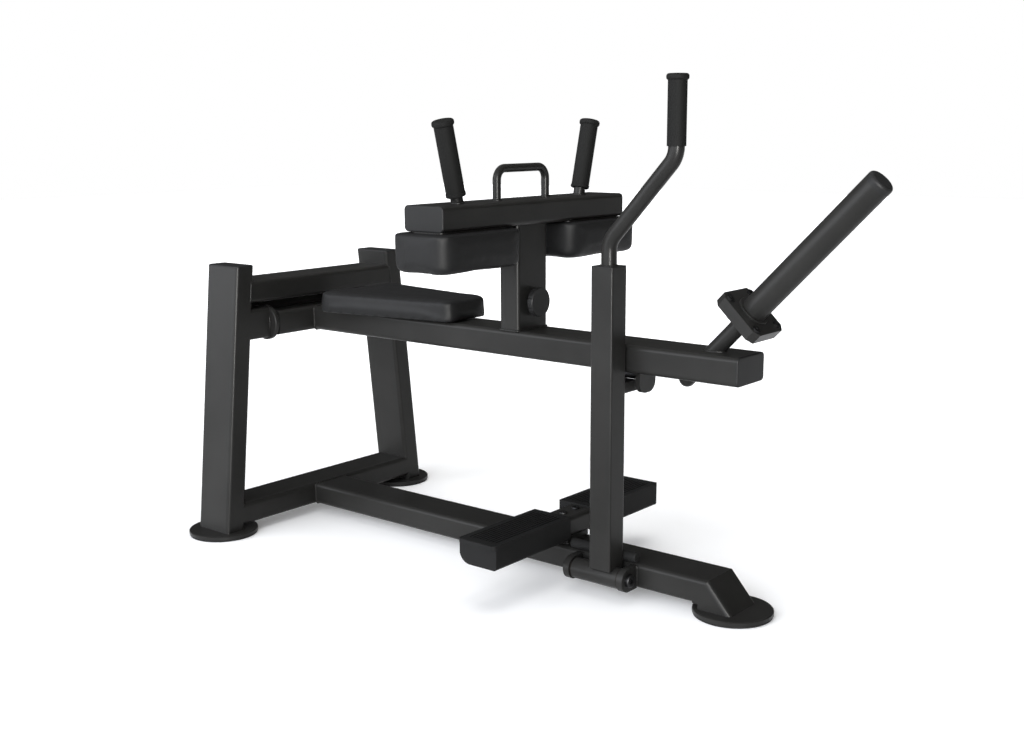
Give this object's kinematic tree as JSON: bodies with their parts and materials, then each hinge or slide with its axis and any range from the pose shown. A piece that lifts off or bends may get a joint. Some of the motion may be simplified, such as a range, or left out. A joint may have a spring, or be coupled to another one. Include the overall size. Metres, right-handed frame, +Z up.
{
  "type": "seated calf raise machine",
  "caption": "Plate-loaded seated calf raise machine: hinged lever beam with seat, height-set thigh pads, weight horn and side release lever",
  "frame": {"origin": "On the floor, under the middle of the machine's overall length and width.", "axes": "+X runs from the rear frame towards the weight horn, the way the user faces; +Y is the user's left; +Z is up."},
  "size_m": [1.5243, 0.734, 1.011],
  "materials": {
    "powder_coat": "satin black powder coat with a fine texture",
    "pad_vinyl": "black upholstery vinyl, fine grain",
    "grip_rubber": "matte black rubber",
    "tread_plastic": "moulded black plastic with fine ribs",
    "cap_plastic": "satin black plastic",
    "bare_steel": "dark zinc-plated steel",
    "bush_bronze": "sintered bronze"
  },
  "bodies": {
    "frame": {"base_beam": "powder_coat", "rear_foot_beam": "powder_coat", "leg_left": "powder_coat", "leg_right": "powder_coat", "leg_caps": "cap_plastic", "top_crossbar": "powder_coat", "pivot_guard": "powder_coat", "pivot_stub_left": "powder_coat", "pivot_stub_right": "powder_coat", "pivot_collars": "powder_coat", "pivot_shaft": "bare_steel", "pivot_shaft_nuts": "bare_steel", "foot_discs": "powder_coat", "foot_rubbers": "grip_rubber", "footbar_saddle": "powder_coat", "footbar_tube": "powder_coat", "footbar_tread_left": "tread_plastic", "footbar_tread_right": "tread_plastic", "footbar_bolts": "bare_steel", "release_lug_front": "powder_coat", "release_lug_rear": "powder_coat", "release_pivot_bolt": "bare_steel", "stop_bar": "powder_coat", "stop_bar_rubbers": "grip_rubber"},
    "lever": {"lever_beam": "powder_coat", "lever_beam_cap": "cap_plastic", "pivot_hub": "powder_coat", "pivot_bushes": "bush_bronze", "seat_plate": "powder_coat", "seat_pad": "pad_vinyl", "seat_bolts": "bare_steel", "post_sleeve": "powder_coat", "post_glides": "cap_plastic", "pin_housing": "bare_steel", "catch_lugs": "powder_coat", "catch_roller": "bare_steel", "horn_rod": "powder_coat", "horn_flange": "powder_coat", "horn_flange_screws": "bare_steel", "horn_ring": "powder_coat", "horn_sleeve": "powder_coat", "horn_cap": "cap_plastic"},
    "pad_carriage": {"carriage_post": "powder_coat", "pad_crossbar": "powder_coat", "crossbar_caps": "cap_plastic", "pad_plates": "powder_coat", "thigh_pad_left": "pad_vinyl", "thigh_pad_right": "pad_vinyl", "handle_bars": "powder_coat", "handle_grip_left": "grip_rubber", "handle_grip_right": "grip_rubber", "lift_handle": "powder_coat"},
    "selector": {"pull_pin": "bare_steel", "pull_knob": "cap_plastic"},
    "release_lever": {"release_post": "powder_coat", "release_post_cap": "cap_plastic", "release_hub": "powder_coat", "release_bushes": "bush_bronze", "release_handle": "powder_coat", "release_grip": "grip_rubber", "catch_arm": "powder_coat"}
  },
  "joints": [
    {"name": "lever_hinge", "type": "hinge", "parent": "frame", "child": "lever", "pos_m": [-0.65319, 0, 0.48], "axis": [0, -1, 0], "range_deg": [0, 12]},
    {"name": "carriage_slide", "type": "slide", "parent": "lever", "child": "pad_carriage", "axis": [0, 0, 1], "range_m": [0, 0.09]},
    {"name": "selector_pull", "type": "slide", "parent": "lever", "child": "selector", "axis": [1, 0, 0], "range_m": [0, 0.012], "stiffness_N_per_m": 600, "springref_m": -0.01},
    {"name": "release_swing", "type": "hinge", "parent": "frame", "child": "release_lever", "pos_m": [0.22881, -0.08, 0.046], "axis": [1, 0, 0], "range_deg": [0, 20]}
  ]
}
